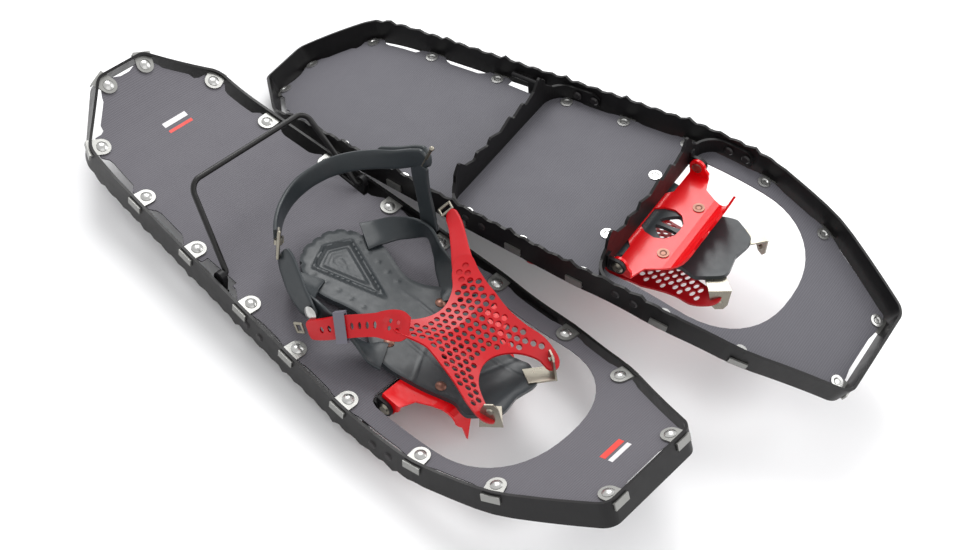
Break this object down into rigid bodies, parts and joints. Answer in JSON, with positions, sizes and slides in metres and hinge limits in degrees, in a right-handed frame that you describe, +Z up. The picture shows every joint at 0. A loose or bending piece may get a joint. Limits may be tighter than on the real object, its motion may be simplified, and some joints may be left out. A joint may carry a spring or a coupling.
{
  "type": "pair of snowshoes",
  "caption": "Mountain snowshoes with toothed blade frames, coated decks, toothed crossbars, pivoting red crampons, net bindings and wire heel lifters, one lying deck up and one sole up.",
  "frame": {"origin": "centre of the pair's bounding box, on the floor under its lowest points", "axes": "+X along the deck-up shoe towards its toe, +Y towards the shoe that lies sole up, +Z up"},
  "size_m": [0.6806, 0.4238, 0.1572],
  "materials": {
    "frame_black": "black anodised, satin",
    "deck_fabric": "coated, fine ribbed weave",
    "clip_metal": "satin",
    "rivet_metal": "polished",
    "crossbar_black": "powder coated black",
    "dark_fasteners": "satin black",
    "moulded_black": "matt",
    "wire_black": "satin black",
    "stainless": "satin",
    "crampon_red": "gloss red powder coat",
    "bronze_rivets": "bronze anodised",
    "binding_grey": "semi-gloss elastomer",
    "net_red": "semi-gloss elastomer",
    "keeper_grey": "matt"
  },
  "bodies": {
    "a_frame": {"a_frame_rail": "frame_black", "a_deck": "deck_fabric", "a_deck_clips": "clip_metal", "a_deck_rivets": "rivet_metal", "a_rear_crossbar": "crossbar_black", "a_front_crossbar": "crossbar_black", "a_crossbar_rivets": "dark_fasteners", "a_lifter_brackets": "moulded_black", "a_hinge_lugs": "moulded_black", "a_hinge_pins": "stainless"},
    "a_lifter": {"a_heel_lifter": "wire_black"},
    "a_binding": {"a_crampon": "crampon_red", "a_crampon_rivets": "bronze_rivets", "a_footbed": "binding_grey", "a_toe_brackets": "stainless", "a_toe_pins": "stainless", "a_side_bands": "binding_grey", "a_side_uprights": "binding_grey", "a_forefoot_net": "net_red", "a_far_strap": "net_red", "a_near_strap": "net_red", "a_strap_keeper": "keeper_grey", "a_side_rivets": "rivet_metal", "a_strap_hook": "stainless", "a_strap_loop": "stainless", "a_heel_strap": "binding_grey", "a_heel_buckle": "stainless", "a_heel_strap_pin": "stainless"},
    "a_tongue": {"a_buckle_tongue": "stainless"},
    "b_frame": {"b_frame_rail": "frame_black", "b_deck": "deck_fabric", "b_deck_clips": "clip_metal", "b_deck_rivets": "rivet_metal", "b_rear_crossbar": "crossbar_black", "b_front_crossbar": "crossbar_black", "b_crossbar_rivets": "dark_fasteners", "b_lifter_brackets": "moulded_black", "b_hinge_lugs": "moulded_black", "b_hinge_pins": "stainless"},
    "b_lifter": {"b_heel_lifter": "wire_black"},
    "b_binding": {"b_crampon": "crampon_red", "b_crampon_rivets": "bronze_rivets", "b_footbed": "binding_grey", "b_toe_brackets": "stainless", "b_toe_pins": "stainless", "b_side_bands": "binding_grey", "b_side_uprights": "binding_grey", "b_forefoot_net": "net_red", "b_far_strap": "net_red", "b_near_strap": "net_red", "b_strap_keeper": "keeper_grey", "b_side_rivets": "rivet_metal", "b_strap_hook": "stainless", "b_strap_loop": "stainless", "b_heel_strap": "binding_grey", "b_heel_buckle": "stainless", "b_heel_strap_pin": "stainless"},
    "b_tongue": {"b_buckle_tongue": "stainless"}
  },
  "joints": [
    {"name": "a_lifter_pivot", "type": "hinge", "parent": "a_frame", "child": "a_lifter", "pos_m": [-0.10515, -0.1088, 0.04706], "axis": [0, 1, 0], "range_deg": [-36, 54]},
    {"name": "a_binding_pivot", "type": "hinge", "parent": "a_frame", "child": "a_binding", "pos_m": [0.07436, -0.1088, 0.03128], "axis": [0, 1, 0], "range_deg": [0, 55]},
    {"name": "a_tongue_pivot", "type": "hinge", "parent": "a_binding", "child": "a_tongue", "pos_m": [-0.07649, -0.1558, 0.08743], "axis": [-0.3243, 0.3473, 0.8799], "range_deg": [-60, 0]},
    {"name": "b_lifter_pivot", "type": "hinge", "parent": "b_frame", "child": "b_lifter", "pos_m": [-0.05365, 0.07995, 0.05918], "axis": [0.1442, -0.986, -0.0834], "range_deg": [0, 90]},
    {"name": "b_binding_pivot", "type": "hinge", "parent": "b_frame", "child": "b_binding", "pos_m": [0.12164, 0.10262, 0.09432], "axis": [0.1442, -0.986, -0.0834], "range_deg": [0, 55]},
    {"name": "b_tongue_pivot", "type": "hinge", "parent": "b_binding", "child": "b_tongue", "pos_m": [-0.01551, 0.04087, 0.02372], "axis": [0.0982, -0.2665, 0.9588], "range_deg": [-60, 0]},
    {"name": "pair_lift", "type": "slide", "parent": "a_frame", "child": "b_frame", "axis": [0, 0, 1], "range_m": [0, 0.2]}
  ]
}
